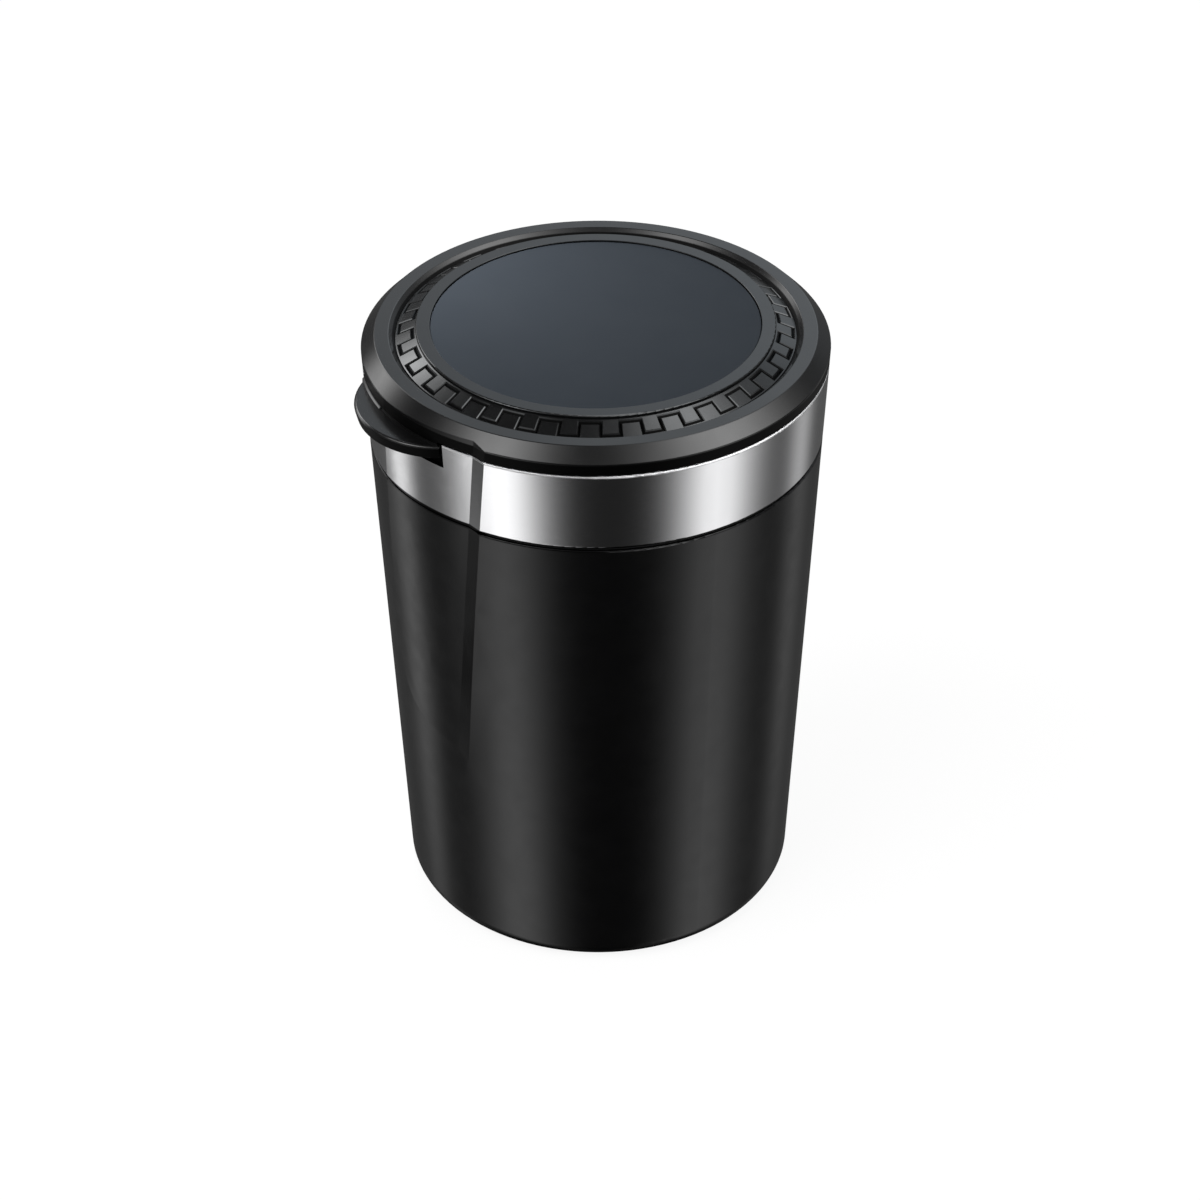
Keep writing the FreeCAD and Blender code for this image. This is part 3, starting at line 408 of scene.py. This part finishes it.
FLOOR_SIZE = 6.0
FLOOR_COLOR = (0.2, 0.2, 0.2, 1.0)
FLOOR_GLOW = 0.9
WHITE = (1.0, 1.0, 1.0, 1.0)
# World as the camera and the matt surfaces see it
BACKDROP_LEVEL = 1.0
ROOM_LEVEL = 0.36
# World as the gloss sees it: walls beside and in front of the object, and the ceiling
SIDE_LEVEL = 0.092
FRONT_LEVEL = 0.016
CEILING_LEVEL = 0.08
# The front wall starts and is full at these cosines of the angle from the camera
FRONT_EDGE = (math.cos(math.radians(80)), 0.95)
# The walls give way to the ceiling between these sines of the elevation
HORIZON = (-0.1, 0.25)
# Upright strips below the horizon: angle from the camera, spread in degrees, brightness
FRONT_STRIPS = {
    "left": (-50, 13.5, 1.4),
    "right": (64, 14, 1.13),
}
REAR_STRIPS = {
    "left": (-116, 7, 0.9),
    "right": (126, 7.5, 0.36),
}
# Sines of the elevation between which the strips fade downwards, and the share that is left
REAR_FADE = (-0.7, -0.58, 0.25)
LOW_FADE = (-0.95, -0.76, 0.1)
# Soft boxes above the horizon: angle from the camera, elevation, spread in degrees, brightness
SOFT_BOXES = {
    "left_front": (-57, 47, 11, 6.0),
    "right_front": (71, 42, 17, 5.75),
    "left_rear": (-125, 16, 8, 3.9),
    "left_high": (-147, 33.5, 6.5, 7.2),
    "right_high": (127, 65.5, 6.7, 6.0),
}
# Weaker, cooler box behind the object, which the flat faces of the lid reflect
BACK_BOX = (163, 30, 15, 1.34)
BACK_TINT = (0.94, 1.02, 1.09, 1.0)
# Lamps: target, angle from the camera, elevation, distance, size, power in watts
LID_TARGET = Vector((0, 0, 0.1106))
LAMPS = {
    "key": (CAMERA_TARGET, -50, 55, 1.2, 0.8, 4.0),
    "fill": (CAMERA_TARGET, 60, 40, 1.4, 1.0, 2.0),
    "lid_light": (LID_TARGET, -124, 37.6, 0.0656, 0.025, 0.05),
}


def make_floor():
    """Pale floor that keeps the shadow and is white to the camera."""
    bpy.ops.mesh.primitive_plane_add(size=FLOOR_SIZE)
    floor = bpy.context.object
    floor.name = "floor"
    floor.visible_glossy = False
    material = bpy.data.materials.new("floor_white")
    material.use_nodes = True
    paint = NodeTree(material.node_tree)
    paint.tree.nodes.clear()
    diffuse = paint.add("ShaderNodeBsdfDiffuse")
    diffuse.inputs["Color"].default_value = FLOOR_COLOR
    path = paint.add("ShaderNodeLightPath")
    seen = paint.math("MAXIMUM", path.outputs["Is Camera Ray"], path.outputs["Is Transmission Ray"])
    glow = paint.add("ShaderNodeEmission")
    paint.feed(glow.inputs["Strength"], paint.math("MULTIPLY", seen, FLOOR_GLOW))
    paint.sum_shaders(diffuse, glow, "ShaderNodeOutputMaterial")
    floor.data.materials.append(material)


class Sky(NodeTree):
    """Node tree of a new world, with the shapes that the studio is made of."""

    def __init__(self, name):
        world = bpy.data.worlds.new(name)
        bpy.context.scene.world = world
        world.use_nodes = True
        super().__init__(world.node_tree)
        self.tree.nodes.clear()
        self.look = self.add("ShaderNodeTexCoord").outputs["Generated"]
        flatten = self.add("ShaderNodeVectorMath", operation="MULTIPLY")
        self.feed(flatten.inputs[0], self.look)
        flatten.inputs[1].default_value = (1, 1, 0)
        level = self.add("ShaderNodeVectorMath", operation="NORMALIZE")
        self.feed(level.inputs[0], flatten.outputs[0])
        self.flat_look = level.outputs[0]
        self.height = self.along(self.look, (0, 0, 1))

    def along(self, vector, axis):
        """Dot product of a vector socket with a fixed axis."""
        node = self.add("ShaderNodeVectorMath", operation="DOT_PRODUCT")
        self.feed(node.inputs[0], vector)
        node.inputs[1].default_value = axis
        return node.outputs["Value"]

    def rise(self, start, end, low=0.0, high=1.0):
        """Smooth step from low to high as the sine of the elevation goes from start to end."""
        return self.remap(self.height, start, end, low, high, smooth=True)

    def glow(self, vector, axis, spread, brightness):
        """Soft round lobe about an axis: brightness * exp((cos(angle) - 1) / spread ** 2)."""
        sharpness = 1.0 / math.radians(spread) ** 2
        power = self.math("MULTIPLY_ADD", self.along(vector, axis), sharpness, -sharpness)
        return self.math("MULTIPLY", self.math("EXPONENT", power), brightness)

    def strip(self, angle, spread, brightness):
        """Upright strip at an angle from the camera."""
        return self.glow(self.flat_look, direction(CAMERA_ANGLE + angle), spread, brightness)

    def box(self, angle, elevation, spread, brightness):
        """Round soft box at an angle from the camera and an elevation."""
        return self.glow(self.look, direction(CAMERA_ANGLE + angle, elevation), spread, brightness)

    def background(self, color, strength):
        node = self.add("ShaderNodeBackground")
        node.inputs["Color"].default_value = color
        self.feed(node.inputs["Strength"], strength)
        return node


def make_world():
    """White to the camera, an even grey to matt surfaces, and a studio to the gloss."""
    sky = Sky("studio")
    towards_camera = sky.along(sky.flat_look, direction(CAMERA_ANGLE))
    walls = sky.remap(towards_camera, *FRONT_EDGE, SIDE_LEVEL, FRONT_LEVEL, smooth=True)
    for strip in FRONT_STRIPS.values():
        walls = sky.math("ADD", walls, sky.strip(*strip))
    fade = sky.rise(*REAR_FADE)
    for strip in REAR_STRIPS.values():
        walls = sky.math("MULTIPLY_ADD", sky.strip(*strip), fade, walls)
    walls = sky.math("MULTIPLY", walls, sky.rise(*LOW_FADE))
    above = CEILING_LEVEL
    for box in SOFT_BOXES.values():
        above = sky.math("ADD", sky.box(*box), above)
    studio = sky.blend(sky.rise(*HORIZON), walls, above)

    path = sky.add("ShaderNodeLightPath")
    glossy = path.outputs["Is Glossy Ray"]
    plain = sky.blend(path.outputs["Is Camera Ray"], ROOM_LEVEL, BACKDROP_LEVEL)
    white = sky.background(WHITE, sky.blend(glossy, plain, studio))
    cool = sky.background(BACK_TINT, sky.math("MULTIPLY", sky.box(*BACK_BOX), glossy))
    sky.sum_shaders(white, cool, "ShaderNodeOutputWorld")


def make_lamp(name, target, angle, elevation, distance, size, energy):
    """Soft round lamp that looks at a target and doesn't show in reflections."""
    data = bpy.data.lights.new(name, "AREA")
    data.shape = "DISK"
    data.size = size
    data.energy = energy
    lamp = bpy.data.objects.new(name, data)
    bpy.context.scene.collection.objects.link(lamp)
    lamp.location = target + distance * direction(CAMERA_ANGLE + angle, elevation)
    lamp.rotation_euler = (target - lamp.location).to_track_quat("-Z", "Y").to_euler()
    lamp.visible_glossy = False
    lamp.visible_camera = False


def make_camera():
    """Camera at the photograph's viewing angle."""
    data = bpy.data.cameras.new("camera")
    data.sensor_width = CAMERA_SENSOR
    data.lens = CAMERA_LENS
    data.shift_x, data.shift_y = CAMERA_SHIFT
    data.clip_start = CAMERA_CLIP
    camera = bpy.data.objects.new("camera", data)
    bpy.context.scene.collection.objects.link(camera)
    place = CAMERA_TARGET + CAMERA_DISTANCE * direction(CAMERA_ANGLE, CAMERA_ELEVATION)
    aim = (CAMERA_TARGET - place).to_track_quat("-Z", "Y").to_matrix()
    roll = Matrix.Rotation(math.radians(CAMERA_ROLL), 3, "Z")
    camera.matrix_world = Matrix.Translation(place) @ (aim @ roll).to_4x4()
    bpy.context.scene.camera = camera


dress_nodes()
make_floor()
make_world()
for lamp_name, lamp_settings in LAMPS.items():
    make_lamp(lamp_name, *lamp_settings)
make_camera()
bpy.context.scene.view_settings.view_transform = "Standard"
